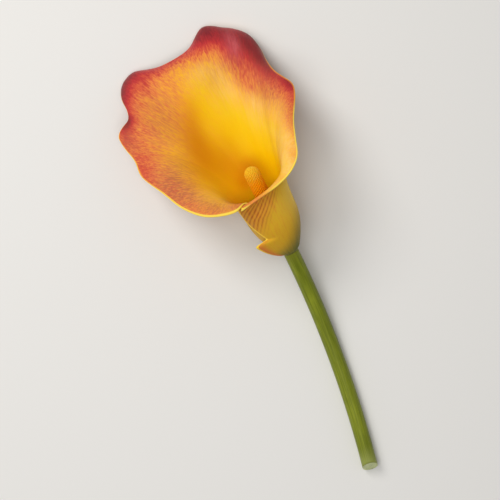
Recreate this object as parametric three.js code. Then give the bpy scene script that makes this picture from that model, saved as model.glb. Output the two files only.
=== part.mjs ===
// One arum lily flower, cut from its plant and lying on its back with its open face up.
// Frame: millimetres, +Z up, the surface it lies on is z = 0. +Y runs from the cut end of the stem
// to the far lobe of the bloom, and +X is to the right as the open face is seen from above.
import * as THREE from "three";
import { LoftGeometry } from "three/addons/geometries/LoftGeometry.js";

const radians = THREE.MathUtils.degToRad;
const lerp = THREE.MathUtils.lerp;
const smooth = (low, high, x) => THREE.MathUtils.smoothstep(x, low, high);

// Driving dimensions
const axisRise = radians(25); // how steeply the tube climbs from the surface
const footRadius = 3.9; // of the middle of the sheet, as is the next
const tubeRadius = 13;
const swellHeight = 24; // height up the axis where the tube is at its widest
const throatHeight = 30; // where the tube ends and the limb begins
const flareHeight = 16; // where the tube starts to open towards the limb
const flareAngle = 6; // degrees by which its wall leans out at the throat, on average
const flareMoreAtBack = 6;
const flareLessAtRight = 3;
const wallReach = 0.38; // how far the limb keeps to the tube's slope, as a share of its length
const waveReach = 36; // degrees of turn over which the rim's waves are evened out inside the limb
const ruffle = 0.45; // height of the small ruffles along the rim
const unevenness = 0.35; // height of the slow waves across the limb
const tuckSink = 0.5; // how far the tucked edge's top corner sinks, as a share of the limb
const tuckTurns = [-150, -131]; // turns over which it sinks
const flapGap = 1.6; // from the middle of the outer flap to the middle of the layer it wraps
const flapGapAtRim = 1.45;
const tuckedAtFoot = -135; // turns of the edge tucked inside the roll, in degrees from the back
const tuckedInTube = -190;
const tuckedAtRim = -171;
const flapAtFoot = 217; // turns of the outer flap's edge
const flapAtThroat = 247;
const flapAtRim = 225;
const spatheThickness = 1.1;
const rimThickness = 0.8;
const tailReach = 8.2; // how far the tail at the flap's lower corner stands off the tube
const tailFoot = 3; // height up the axis where the tail starts to stand off
const tailHeight = 15.8;
const tailNotch = 1.2; // height over which the tail's upper edge cuts back to the tube
const tailWidth = 38; // degrees of the flap that stand off in the tail
const tailRounding = 0.7; // power of its lower edge: below 1 it bulges
const spadixFoot = 3.6; // height up the axis
const spadixLength = 48.8;
const spadixRadius = 4.05;
const spadixFootShare = 0.82; // its radius at the foot, as a share of its radius higher up
const spadixTaper = 14; // length over which it thickens from the foot
const floretRelief = 0.16;
const floretsRound = 12;
const floretPitch = 2.2; // from one row of florets to the next
const spadixRings = 58;
const tipCrowding = 0.35; // how much closer the rings stand at the tip
const stemRadius = 4.1;
const stemSides = 24;
const stemRings = 28;
const stemArc = 74; // length over which the stem bends down to lie flat
const stemFlat = 50; // length that lies on the surface
const stemDrift = 14; // how far the stem wanders to the left on its way
const cutSlant = radians(28); // how far the knife's cut leans from square
const pegRadius = 3;
const pegHeight = 3.2; // the stem's tip inside the foot of the tube
const seatGap = 0.3; // clearance where one piece sits on another

// The bend of the stem sets how high the tube's foot stands, and one facet of the stem lies flat.
const stemBendRadius = stemArc / axisRise;
const footHeight = stemRadius * Math.cos(Math.PI / stemSides)
  + stemBendRadius * (1 - Math.cos(axisRise));

// Where the tube's foot stands, so that the whole flower is centred on the origin.
const footX = 6.8;
const footY = -1.7;

// The tube's own frame: up its axis, to its back (down, as it lies) and to its right.
const axisDirection = new THREE.Vector3(0, Math.cos(axisRise), Math.sin(axisRise));
const backDirection = new THREE.Vector3(0, Math.sin(axisRise), -Math.cos(axisRise));
const rightDirection = new THREE.Vector3(1, 0, 0);
const foot = new THREE.Vector3(footX, footY, footHeight);

// A point by its height up the axis, its radius from it and its turn round it from the back.
function tubePoint(height, radius, turn) {
  return foot
    .clone()
    .addScaledVector(axisDirection, height)
    .addScaledVector(backDirection, radius * Math.cos(turn))
    .addScaledVector(rightDirection, radius * Math.sin(turn));
}

// The rim, station by station, by degrees of turn from the back: from the front, round the left, the
// back and the right. x and y are from the tube's foot and z is above the surface. pitch is how far
// below level the blade points where it ends, and bend is the length of that last bend.
const rim = [
  { turn: -180, x: -0.7, y: 31.9, z: 53.4, pitch: -42, bend: 7 }, // front lip
  { turn: -168, x: -4.2, y: 31.5, z: 53, pitch: -42, bend: 7 },
  { turn: -156, x: -7.8, y: 31, z: 52.3, pitch: -38, bend: 7 },
  { turn: -144, x: -11.4, y: 30.5, z: 51.2, pitch: -32, bend: 7 },
  { turn: -132, x: -15.6, y: 30.2, z: 49.6, pitch: -24, bend: 8 },
  { turn: -120, x: -22.5, y: 31.2, z: 46.8, pitch: -12, bend: 9 },
  { turn: -108, x: -32.2, y: 35.6, z: 43, pitch: 0, bend: 11 },
  { turn: -96, x: -40.4, y: 44.8, z: 38, pitch: 8, bend: 12 },
  { turn: -84, x: -45.8, y: 56.4, z: 33, pitch: 12, bend: 13 },
  { turn: -76, x: -49.6, y: 63.8, z: 29.5, pitch: 17, bend: 14 },
  { turn: -70, x: -52, y: 70, z: 27.5, pitch: 20, bend: 14 },
  { turn: -62, x: -51.2, y: 78, z: 27, pitch: 14, bend: 14 },
  { turn: -54, x: -52.9, y: 86, z: 23, pitch: 26, bend: 15 },
  { turn: -47, x: -53.4, y: 94.2, z: 18.5, pitch: 42, bend: 15 }, // left corner
  { turn: -42, x: -49, y: 97.6, z: 20, pitch: 38, bend: 15.5 },
  { turn: -37, x: -44.6, y: 99.4, z: 20, pitch: 38, bend: 16 }, // notch
  { turn: -32, x: -43, y: 104.4, z: 15.5, pitch: 54, bend: 17 },
  { turn: -24, x: -42.6, y: 112.2, z: 8, pitch: 78, bend: 18 },
  { turn: -18, x: -39, y: 118.6, z: 2.4, pitch: 98, bend: 19 },
  { turn: -11, x: -31.8, y: 121.9, z: -0.4, pitch: 110, bend: 20 }, // left back lobe
  { turn: -5, x: -25.2, y: 120.4, z: 3.2, pitch: 92, bend: 20 },
  { turn: 1, x: -17.6, y: 117.8, z: 8.5, pitch: 64, bend: 20 },
  { turn: 8, x: -6.6, y: 118, z: 9.5, pitch: 56, bend: 21 },
  { turn: 14, x: 1.2, y: 119.8, z: 6.5, pitch: 68, bend: 22 },
  { turn: 19, x: 6.2, y: 123.4, z: 2.2, pitch: 96, bend: 22 },
  { turn: 24, x: 11.6, y: 126.6, z: -0.5, pitch: 114, bend: 22 }, // back lobe
  { turn: 29, x: 17.2, y: 124.3, z: 0.3, pitch: 118, bend: 21 },
  { turn: 33, x: 21.2, y: 121.2, z: 2, pitch: 110, bend: 21 },
  { turn: 37, x: 25.2, y: 118.6, z: 1.2, pitch: 116, bend: 20 },
  { turn: 45, x: 32.2, y: 111.6, z: 4.5, pitch: 108, bend: 19 },
  { turn: 53, x: 34.4, y: 102.4, z: 11.5, pitch: 92, bend: 17 },
  { turn: 60, x: 34, y: 94.8, z: 19, pitch: 72, bend: 15 },
  { turn: 66, x: 34.8, y: 88, z: 26, pitch: 54, bend: 14 },
  { turn: 72, x: 37.2, y: 82.4, z: 30.5, pitch: 46, bend: 13 },
  { turn: 79, x: 40, y: 76.4, z: 33.5, pitch: 46, bend: 12 }, // right lobe
  { turn: 86, x: 38.6, y: 71, z: 37.4, pitch: 38, bend: 12 },
  { turn: 96, x: 35.2, y: 65.2, z: 41, pitch: 30, bend: 11 },
  { turn: 108, x: 31.2, y: 58, z: 46, pitch: 18, bend: 10 },
  { turn: 120, x: 28, y: 49.8, z: 50, pitch: 8, bend: 9 },
  { turn: 132, x: 24.6, y: 41.2, z: 52.6, pitch: -6, bend: 8 },
  { turn: 144, x: 17, y: 35.6, z: 54, pitch: -22, bend: 7 },
  { turn: 156, x: 8.8, y: 33.2, z: 54.2, pitch: -34, bend: 7 },
  { turn: 168, x: 3.4, y: 32.4, z: 53.8, pitch: -40, bend: 7 },
];

// Smooth closed curve through one value of the stations, at any turn in degrees.
function rimValue(key, anyTurn) {
  const turn = THREE.MathUtils.euclideanModulo(anyTurn + 180, 360) - 180;
  const i = rim.findLastIndex((station) => station.turn <= turn);
  const at = (k) => rim[(i + k + rim.length) % rim.length];
  const turnAt = (k) => at(k).turn + 360 * Math.floor((i + k) / rim.length);
  const span = turnAt(1) - turnAt(0);
  const t = (turn - turnAt(0)) / span;
  const out = ((at(1)[key] - at(-1)[key]) / (turnAt(1) - turnAt(-1))) * span;
  const into = ((at(2)[key] - at(0)[key]) / (turnAt(2) - turnAt(0))) * span;
  return at(0)[key] * (1 + 2 * t) * (1 - t) ** 2 + out * t * (1 - t) ** 2
    + at(1)[key] * t * t * (3 - 2 * t) + into * t * t * (t - 1);
}

// Middle of the tube's wall. It swells quickly from the stem, and flares at its sides and back.
function tubeWall(turn, height) {
  const swell = Math.sin((Math.PI / 2) * Math.min(height / swellHeight, 1));
  const angle = radians(turn);
  const flare = Math.tan(radians(flareAngle + flareMoreAtBack * Math.cos(angle)
    - flareLessAtRight * Math.sin(angle)));
  const opened = Math.max(height - flareHeight, 0) ** 2 / (2 * (throatHeight - flareHeight));
  return tubePoint(height, lerp(footRadius, tubeRadius, swell) + flare * opened, angle);
}

// Where a rib ends and the last bend that leads to it. A wide reach evens out the rim's waves.
function ribEnd(turn, reach) {
  const turns = reach ? [-2, -1, 0, 1, 2].map((k) => turn + (k * reach) / 2) : [turn];
  const mean = (key) => turns.reduce((sum, each) => sum + rimValue(key, each), 0) / turns.length;
  const heading = radians(turn);
  const pitch = radians(mean("pitch"));
  const bend = mean("bend");
  return {
    end: new THREE.Vector3(footX + mean("x"), footY + mean("y"), mean("z")),
    bend: new THREE.Vector3(
      Math.sin(heading) * Math.cos(pitch), Math.cos(heading) * Math.cos(pitch), -Math.sin(pitch),
    ).multiplyScalar(bend),
  };
}

// Middle of one layer of the sheet. rise runs from 0 at the foot, over 1 at the throat, to 2.
// The limb is an even funnel, and the waves and ruffles of its rim fade out towards the throat.
function layer(turn, rise) {
  if (rise <= 1) return tubeWall(turn, rise * throatHeight);
  const start = tubeWall(turn, throatHeight);
  const wall = start.clone().sub(tubeWall(turn, throatHeight - 0.5)).normalize();
  const even = ribEnd(turn, waveReach);
  const waved = ribEnd(turn, 0);
  const afterStart = start.clone().addScaledVector(wall, wallReach * start.distanceTo(even.end));
  const beforeEnd = even.end.clone().sub(even.bend);
  const t = rise - 1;
  const shift = waved.end.sub(even.end);
  const turned = waved.bend.sub(even.bend);
  const point = new THREE.CubicBezierCurve3(start, afterStart, beforeEnd, even.end).getPoint(t)
    .addScaledVector(shift, t ** 4 * (5 - 4 * t))
    .addScaledVector(turned, -3 * t ** 4 * (1 - t));
  const ruffles = Math.sin(radians(13 * turn)) + 0.6 * Math.sin(radians(29 * turn + 40));
  point.z += ruffle * ruffles * t ** 5 * (1 - smooth(115, 150, Math.abs(turn)));
  return point;
}

// Slow unevenness of the open limb. It fades out towards the throat and the roll.
function undulation(turn, rise) {
  const waves = 0.5 * Math.sin(radians(7 * turn + 30)) + 0.35 * Math.sin(radians(11.5 * turn + 200))
    + 0.22 * Math.sin(radians(19 * turn + 75)) * Math.sin(5 * rise + 1);
  return unevenness * waves * smooth(1.15, 1.7, rise) * (1 - smooth(105, 130, Math.abs(turn)));
}

// Outward normal of a surface given by turn and rise.
function outwardNormal(surface, turn, rise) {
  const step = 1e-3;
  const low = Math.max(rise - step, 0);
  const high = Math.min(rise + step, 2);
  const acrossTurn = surface(turn + 100 * step, rise).sub(surface(turn - 100 * step, rise));
  const upRise = surface(turn, high).sub(surface(turn, low));
  return upRise.cross(acrossTurn).normalize();
}

// Turn of the two free edges: the tucked one inside the roll, and the outer flap's.
function tuckedEdge(rise) {
  const inTube = lerp(tuckedAtFoot, tuckedInTube, smooth(0.1, 0.45, rise));
  return lerp(inTube, tuckedAtRim, smooth(0.9, 2, rise));
}
function flapEdge(rise) {
  return flapAtFoot + (flapAtThroat - flapAtFoot) * smooth(0.5, 1.05, rise)
    + (flapAtRim - flapAtThroat) * smooth(1, 2, rise);
}

// Middle of the whole sheet: the flap is the same layer again, moved outwards. The tucked edge's
// top corner sinks behind the flap.
function spatheMiddle(turn, anyRise) {
  const sink = anyRise > 1 ? tuckSink * (1 - smooth(...tuckTurns, turn)) : 0;
  const rise = anyRise - sink * (anyRise - 1);
  const lift = lerp(flapGap, flapGapAtRim, smooth(1, 2, rise))
    * smooth(90, 165, turn) * smooth(0, 0.13, rise);
  const point = layer(turn, rise)
    .addScaledVector(outwardNormal(layer, turn, rise), lift + undulation(turn, rise));
  const height = rise * throatHeight;
  const share = THREE.MathUtils.clamp((height - tailFoot) / (tailHeight - tailFoot), 0, 1);
  const tail = tailReach * share ** tailRounding * (1 - smooth(tailHeight, tailHeight + tailNotch, height));
  const nearEdge = Math.max(1 - (flapEdge(rise) - turn) / tailWidth, 0);
  const outward = new THREE.Vector3(-1, 0.22 * share ** 2 - 0.15, 0.22);
  return point.addScaledVector(outward, tail * nearEdge ** 2);
}

// Rows of the sheet, close together at the foot, at the tail and at the rim.
const tubeRows = [0, 1.5, 3, 5, 7.5, 10, 12.2, 14.2, 15.8, 17, 18.6, 21, 24, 27, 30];
const limbCells = 26;
const crowding = radians(76); // the nearer to 90 degrees, the closer the rows stand at the rim
const rows = tubeRows.map((height) => height / throatHeight);
for (let i = 1; i <= limbCells; i++) {
  rows.push(1 + Math.sin((crowding * i) / limbCells) / Math.sin(crowding));
}

// Turns of the sheet's columns at one row: wide apart in the roll, close together in the limb.
const limbTurns = [-100, 90];
const columnSpans = [10, 46, 16];
function columnTurns(rise) {
  const ends = [tuckedEdge(rise), ...limbTurns, flapEdge(rise)];
  const turns = [ends[0]];
  columnSpans.forEach((count, span) => {
    for (let i = 1; i <= count; i++) turns.push(lerp(ends[span], ends[span + 1], i / count));
  });
  return turns;
}

// Closed shell of the sheet: an outer and an inner face split alike, and a wall round the edge.
function spatheGeometry() {
  const points = [];
  for (const side of [0.5, -0.5]) {
    for (const rise of rows) {
      for (const turn of columnTurns(rise)) {
        const thickness = lerp(spatheThickness, rimThickness, smooth(1.2, 2, rise));
        points.push(spatheMiddle(turn, rise)
          .addScaledVector(outwardNormal(spatheMiddle, turn, rise), side * thickness));
      }
    }
  }
  for (const point of points) point.z = Math.max(point.z, 0);
  const columns = columnSpans.reduce((sum, count) => sum + count);
  const wide = columns + 1;
  const inner = wide * rows.length;
  const index = [];
  const cell = (a, b, c, d) => index.push(a, b, c, a, c, d);
  for (let j = 0; j + 1 < rows.length; j++) {
    for (let i = 0; i < columns; i++) {
      const a = j * wide + i;
      cell(a, a + wide, a + wide + 1, a + 1);
      index.push(inner + a, inner + a + wide + 1, inner + a + wide);
      index.push(inner + a, inner + a + 1, inner + a + wide + 1);
    }
  }
  const top = (rows.length - 1) * wide;
  for (let i = 0; i < columns; i++) {
    cell(i, i + 1, inner + i + 1, inner + i);
    cell(top + i + 1, top + i, inner + top + i, inner + top + i + 1);
  }
  for (let j = 0; j + 1 < rows.length; j++) {
    const a = j * wide;
    const b = a + columns;
    cell(a + wide, a, inner + a, inner + a + wide);
    cell(b, b + wide, inner + b + wide, inner + b);
  }
  const geometry = new THREE.BufferGeometry().setFromPoints(points);
  geometry.setIndex(index);
  geometry.computeVertexNormals();
  return geometry;
}

// The spadix, a blunt finger on the tube's axis. Its florets are a lattice of low bumps.
function spadixGeometry() {
  const sides = 3 * floretsRound;
  const sections = [];
  for (let j = 0; j <= spadixRings; j++) {
    const share = Math.sin((Math.PI / 2) * (j / spadixRings));
    const along = spadixLength * lerp(j / spadixRings, share, tipCrowding);
    const fromTip = spadixLength - along;
    const dome = fromTip < spadixRadius ? Math.sqrt(1 - (1 - fromTip / spadixRadius) ** 2) : 1;
    const taper = lerp(spadixFootShare, 1, smooth(0, spadixTaper, along));
    const body = spadixRadius * taper * Math.max(dome, 0.08);
    const section = [];
    for (let i = 0; i < sides; i++) {
      const turn = (-2 * Math.PI * i) / sides;
      const wave = (Math.PI * along) / floretPitch;
      const bump = Math.cos(floretsRound * turn) * Math.cos(wave);
      const relief = floretRelief * bump * dome * smooth(0, floretPitch, along);
      section.push(tubePoint(spadixFoot + along, body + relief, turn));
    }
    sections.push(section);
  }
  return new LoftGeometry(sections, { closed: true, capStart: true, capEnd: true });
}

// Centre line of the stem from the foot of the tube: a bend down to the surface, then flat.
function stemCentre(along) {
  const angle = axisRise - Math.min(along, stemArc) / stemBendRadius;
  const centre = foot.clone();
  centre.y -= stemBendRadius * (Math.sin(axisRise) - Math.sin(angle)) + Math.max(along - stemArc, 0);
  centre.z -= stemBendRadius * (Math.cos(angle) - Math.cos(axisRise));
  centre.x -= stemDrift * (Math.max(along, 0) / (stemArc + stemFlat)) ** 2;
  return centre;
}

function stemRing(centre, direction, radius, slant = 0) {
  const across = new THREE.Vector3(0, 0, 1).cross(direction).normalize();
  const up = direction.clone().cross(across).normalize();
  return Array.from({ length: stemSides }, (_, i) => {
    const turn = (2 * Math.PI * (i + 0.5)) / stemSides;
    return centre.clone()
      .addScaledVector(across, radius * Math.cos(turn))
      .addScaledVector(up, radius * Math.sin(turn))
      .addScaledVector(direction, radius * Math.sin(turn) * Math.tan(slant));
  });
}

function stemGeometry() {
  const sections = [];
  const length = stemArc + stemFlat;
  for (let j = stemRings; j >= 0; j--) {
    const along = seatGap + ((length - seatGap) * j) / stemRings;
    const direction = stemCentre(along - 0.5).sub(stemCentre(along + 0.5)).normalize();
    const slant = j === stemRings ? cutSlant : 0;
    sections.push(stemRing(stemCentre(along), direction, stemRadius, slant));
  }
  for (const height of [-seatGap, pegHeight]) {
    sections.push(stemRing(tubePoint(height, 0, 0), axisDirection, pegRadius));
  }
  return new LoftGeometry(sections, { closed: true, capStart: true, capEnd: true });
}

function mesh(name, geometry, color, roughness) {
  const piece = new THREE.Mesh(geometry, new THREE.MeshStandardMaterial({ color, roughness }));
  piece.name = name;
  return piece;
}

const flower = new THREE.Group();
flower.name = "arum_lily_flower";
flower.add(
  mesh("spathe", spatheGeometry(), 0xf2a01e, 0.45),
  mesh("spadix", spadixGeometry(), 0xf08a1c, 0.75),
  mesh("stem", stemGeometry(), 0x7c9440, 0.5),
);

export default flower;
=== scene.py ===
import bisect
import functools
import math
import random

import bmesh
import bpy
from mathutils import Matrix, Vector


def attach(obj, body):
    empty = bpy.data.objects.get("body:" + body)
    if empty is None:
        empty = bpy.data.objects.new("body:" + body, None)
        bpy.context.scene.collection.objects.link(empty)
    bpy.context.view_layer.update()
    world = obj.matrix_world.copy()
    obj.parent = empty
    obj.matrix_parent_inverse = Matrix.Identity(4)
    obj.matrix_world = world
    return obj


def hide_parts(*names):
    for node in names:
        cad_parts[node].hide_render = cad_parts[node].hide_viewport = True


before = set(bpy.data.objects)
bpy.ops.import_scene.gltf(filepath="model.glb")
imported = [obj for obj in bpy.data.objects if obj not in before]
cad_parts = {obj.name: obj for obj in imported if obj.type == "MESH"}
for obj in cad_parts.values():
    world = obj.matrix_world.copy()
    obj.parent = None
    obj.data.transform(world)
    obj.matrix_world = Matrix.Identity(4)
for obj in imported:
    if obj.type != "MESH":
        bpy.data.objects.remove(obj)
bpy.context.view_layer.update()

# Everything below is worked out in millimetres and scaled to metres as it goes into a mesh.
mm = 0.001
goldenAngle = math.pi * (3 - math.sqrt(5))


def smooth(low, high, value):
    share = min(max((value - low) / (high - low), 0.0), 1.0)
    return share * share * (3 - 2 * share)


def blend(a, b, share):
    return a + (b - a) * share


def bell(value, centre, halfWidth):
    return math.exp(-((value - centre) / halfWidth) ** 2)


def waveSum(waves, turn):
    # each wave: how often it comes in a full turn, its phase in degrees and its height
    return sum(height * math.sin(math.radians(turn * count + phase))
               for count, phase, height in waves)


def colour(red, green, blue):
    # from the 0-255 values of a screen to the linear values that a shader reads
    channels = [c / 255 for c in (red, green, blue)]
    linear = [c / 12.92 if c <= 0.04045 else ((c + 0.055) / 1.055) ** 2.4 for c in channels]
    return (*linear, 1.0)


def addNode(tree, kind, inputs=None, **settings):
    node = tree.nodes.new(kind)
    for key, value in settings.items():
        setattr(node, key, value)
    for key, value in (inputs or {}).items():
        if isinstance(value, bpy.types.NodeSocket):
            tree.links.new(value, node.inputs[key])
        else:
            node.inputs[key].default_value = value
    return node


def mathNode(tree, operation, *values, clamp=False):
    inputs = dict(enumerate(values))
    return addNode(tree, "ShaderNodeMath", inputs, operation=operation, use_clamp=clamp).outputs[0]


def times(tree, first, second):
    return mathNode(tree, "MULTIPLY", first, second)


def plus(tree, first, second, clamp=False):
    return mathNode(tree, "ADD", first, second, clamp=clamp)


def swing(tree, mask, reach):
    # a mask from 0 to 1 made a swing about zero
    return times(tree, mathNode(tree, "SUBTRACT", mask, 0.5), reach)


def fromRange(tree, value, low, high, newLow=0.0, newHigh=1.0):
    inputs = {"Value": value, "From Min": low, "From Max": high,
              "To Min": newLow, "To Max": newHigh}
    node = addNode(tree, "ShaderNodeMapRange", inputs, interpolation_type="SMOOTHSTEP")
    return node.outputs["Result"]


def mixColour(tree, share, first, second):
    # 6 and 7 are the node's two colours, and its third output their mix
    inputs = {0: share, 6: first, 7: second}
    return addNode(tree, "ShaderNodeMix", inputs, data_type="RGBA").outputs[2]


def paintOver(tree, base, *coats):
    # each coat is a share and a colour
    for share, shade in coats:
        base = mixColour(tree, share, base, shade)
    return base


def colourRamp(tree, value, stops):
    ramp = addNode(tree, "ShaderNodeValToRGB", {"Fac": value})
    elements = ramp.color_ramp.elements
    elements[0].position, elements[0].color = stops[0]
    elements[1].position, elements[1].color = stops[-1]
    for place, shade in stops[1:-1]:
        elements.new(place).color = shade
    return ramp.outputs["Color"]


def readAttribute(tree, name):
    return addNode(tree, "ShaderNodeAttribute", attribute_name=name).outputs["Fac"]


def newGroup(name, inputs, outputs):
    group = bpy.data.node_groups.new(name, "ShaderNodeTree")
    for label, value in inputs.items():
        socket = group.interface.new_socket(name=label, in_out="INPUT",
                                            socket_type="NodeSocketFloat")
        socket.default_value = value
    for label in outputs:
        group.interface.new_socket(name=label, in_out="OUTPUT", socket_type="NodeSocketFloat")
    return group, addNode(group, "NodeGroupInput"), addNode(group, "NodeGroupOutput")


def placeGroup(tree, group, inputs=None):
    return addNode(tree, "ShaderNodeGroup", inputs, node_tree=group).outputs


def newMaterial(name, values):
    material = bpy.data.materials.new(name)
    material.use_nodes = True
    tree = material.node_tree
    shader = tree.nodes["Principled BSDF"]
    for key, value in values.items():
        shader.inputs[key].default_value = value
    return material, tree, shader


def addBump(tree, shader, height, strength, distance=0.0003):
    inputs = {"Strength": strength, "Distance": distance, "Height": height}
    bump = addNode(tree, "ShaderNodeBump", inputs)
    tree.links.new(bump.outputs[0], shader.inputs["Normal"])


def meshFrom(bm, name):
    mesh = bpy.data.meshes.new(name)
    bm.to_mesh(mesh)
    bm.free()
    return mesh


def addObject(name, data):
    thing = bpy.data.objects.new(name, data)
    bpy.context.scene.collection.objects.link(thing)
    return thing


def finishPiece(bm, name, node, materials):
    mesh = meshFrom(bm, name)
    for material in materials:
        mesh.materials.append(material)
    mesh.polygons.foreach_set("use_smooth", [True] * len(mesh.polygons))
    piece = addObject(name, mesh)
    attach(piece, "root")
    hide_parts(node)
    return piece


# Streaks that run along the ribs of the sheet or the stem, from the piece's own map: its first
# direction goes round, its second runs along.
streaks, streakIn, streakOut = newGroup("ribStreaks", {"Across": 4.0, "Along": 0.2, "Detail": 4.0},
                                        ("Streak", "Vein"))
sheetMap = addNode(streaks, "ShaderNodeUVMap", uv_map="ribMap").outputs["UV"]
streakScale = addNode(streaks, "ShaderNodeCombineXYZ",
                      {"X": streakIn.outputs["Across"], "Y": streakIn.outputs["Along"], "Z": 1.0})
streakPlace = addNode(streaks, "ShaderNodeVectorMath",
                      {0: sheetMap, 1: streakScale.outputs[0]}, operation="MULTIPLY").outputs[0]
streakNoise = addNode(streaks, "ShaderNodeTexNoise",
                      {"Vector": streakPlace, "Scale": 1.0, "Detail": streakIn.outputs["Detail"],
                       "Roughness": 0.62, "Distortion": 0.25}).outputs["Fac"]
veinNoise = addNode(streaks, "ShaderNodeTexNoise",
                    {"Vector": streakPlace, "Scale": 2.3, "Detail": 2.0,
                     "Roughness": 0.5}).outputs["Fac"]
streaks.links.new(fromRange(streaks, streakNoise, 0.32, 0.68), streakOut.inputs["Streak"])
streaks.links.new(fromRange(streaks, veinNoise, 0.35, 0.65), streakOut.inputs["Vein"])

# Living skin: tiny cells that break up the gloss, and soft blotches.
skin, skinIn, skinOut = newGroup("livingSkin", {"Cells": 2600.0, "Blotches": 90.0},
                                 ("Cell Height", "Blotch"))
skinPlace = addNode(skin, "ShaderNodeTexCoord").outputs["Object"]
skinCells = addNode(skin, "ShaderNodeTexVoronoi",
                    {"Vector": skinPlace, "Scale": skinIn.outputs["Cells"]}).outputs["Distance"]
skinBlotch = addNode(skin, "ShaderNodeTexNoise",
                     {"Vector": skinPlace, "Scale": skinIn.outputs["Blotches"],
                      "Detail": 3.0}).outputs["Fac"]
skin.links.new(skinCells, skinOut.inputs["Cell Height"])
skin.links.new(fromRange(skin, skinBlotch, 0.3, 0.7), skinOut.inputs["Blotch"])
print("shader groups made")


def placeStreaks(tree, across, along, detail):
    return placeGroup(tree, streaks, {"Across": across, "Along": along, "Detail": detail})


spathe = {
    # the tube, in mm and degrees; height is measured along its axis
    "axisRise": 25,  # degrees that the tube climbs
    "foot": (6.8, -1.7, 19.98),
    "footRadius": 3.9,
    "tubeRadius": 13.0,
    "swellHeight": 24,  # where it has its full radius
    "throatHeight": 30,
    "flareHeight": 16,  # where its mouth begins to open
    "mouthFlare": (6, 6, 3),  # degrees that it opens, more behind, and less at the right
    "skirt": 0.5,  # how far the sheet's foot runs down over the stem
    # the overlap; turns count from the back, to the right, and rise is 0 at the foot, 1 at the
    # throat and 2 at the rim
    "flapGap": 1.6,  # from the middle of the flap to the middle of the layer it wraps
    "flapGapAtRim": 1.15,
    "liftTurns": (90, 165),  # over which the flap lifts off that layer
    "liftRises": (0, 0.13),
    # turns of an edge at the foot, in the tube and at the rim, and rises between which it changes
    "tuckedSide": ((-146, -190, -171), (0.1, 0.45), (0.9, 2)),
    "flapSide": ((217, 247, 225), (0.5, 1.05), (1, 2)),
    "tuckSink": 0.5,  # how far the tucked edge's top corner sinks behind the flap
    "tuckTurns": (-131, -150),  # over which it sinks
    # the limb
    "wallReach": 0.38,  # how far the limb keeps to the tube's slope, as a share of its length
    "waveReach": 36,  # degrees over which the rim's waves are evened out down in the limb
    "ruffle": 0.45,
    "ruffleWaves": ((13, 0, 1), (29, 40, 0.6)),
    "ruffleTurns": (150, 115),  # over which it comes in, from either side of the lip
    "unevenness": 0.35,
    "unevenWaves": ((7, 30, 0.5), (11.5, 200, 0.35)),
    "crossingWaves": ((19, 75, 0.22),),  # these change along a rib as well
    "unevenTurns": (130, 105),  # over which they come in
    "unevenRises": (1.15, 1.7),
    "lowest": 0.35,  # least height of the blade's middle above the table
    # the tail of the flap at the tube's foot
    "tailReach": 8.2,
    "tailFoot": 3.0,  # height at which it starts to stand off
    "tailHeight": 15.8,  # and at which it ends in a notch
    "tailNotch": 1.2,
    "tailWidth": 38,  # degrees of the flap that stand off in the tail
    "tailCurve": 0.7,
    "tailDirection": (-1, -0.15, 0.22),
    "tailSweep": 0.22,  # how much it turns towards the mouth as it widens
    # the blade
    "thickness": 1.1,
    "rimShare": 0.62,  # thickness at the rim, as a share of the thickness in the tube
    "rimRises": (1.2, 2),  # over which it gets thinner
    "footShare": 0.5,  # and at the edge of the foot
    "footRises": (-0.02, 0.12),
    # the grid
    "columns": (20, 82, 30),  # in the tucked roll, the limb and the flap
    "limbTurns": (-100, 90),
    "tubeRows": 30,
    "limbRows": 50,
    "rowCrowding": 0.42,  # the limb's rows are even near 0, and crowd most to the rim at 0.5
    "limbSpread": 30,  # mm that the sheet's radius gains from the throat to the rim
    # the paint; a pair of turns, heights or rises runs from none of it to all
    "mapDegrees": 10,  # degrees to a unit of the rib map
    "mapHeights": 4,  # units of it to the tube's length
    "blush": (0.15, 0.34),  # in the throat, and what it gains towards the rim
    "blushRises": (1.3, 1.95),
    "bandRises": (1.2, 1.5),  # of the pale and the rose patches
    "margin": 1.05,  # width of the yellow margin in mm
    "marginRises": (0.02, 0.3),
    "flapMargin": 1.5,
    "flapMarginTurns": (190, 215),
    "flapMarginRises": ((0.5, 0.6), (1.9, 1.6)),
    "greenSide": (118, 54),  # turn at which green climbs highest up the tube, and its half width
    "greenHeights": (2, 9, 31),  # where it is full, and where it ends elsewhere and there
    "greenRises": (1.3, 0.9),
    "paintedLightSide": (104, 47),  # the same for the painted light on the tube's right side under the mouth
    "paintedLightHeights": (13, 30),
    "paintedLightRises": (1.5, 1.1),
    "stripeTurn": 220,  # where the stripes under the lip start, at the height of the notch
    "stripeSlant": 80,  # degrees of turn by which they cross the tube
    "stripeTurns": (-10, 26),  # from the slanting line where they start
    "stripeHeights": (15, 30),
    "stripeRises": (1.9, 1.3),
    "tailTurns": (60, 5),  # from the flap's edge
    "tailTopHeights": (19, 14),
    "tailFootHeights": (0.5, 4),
}

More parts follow.
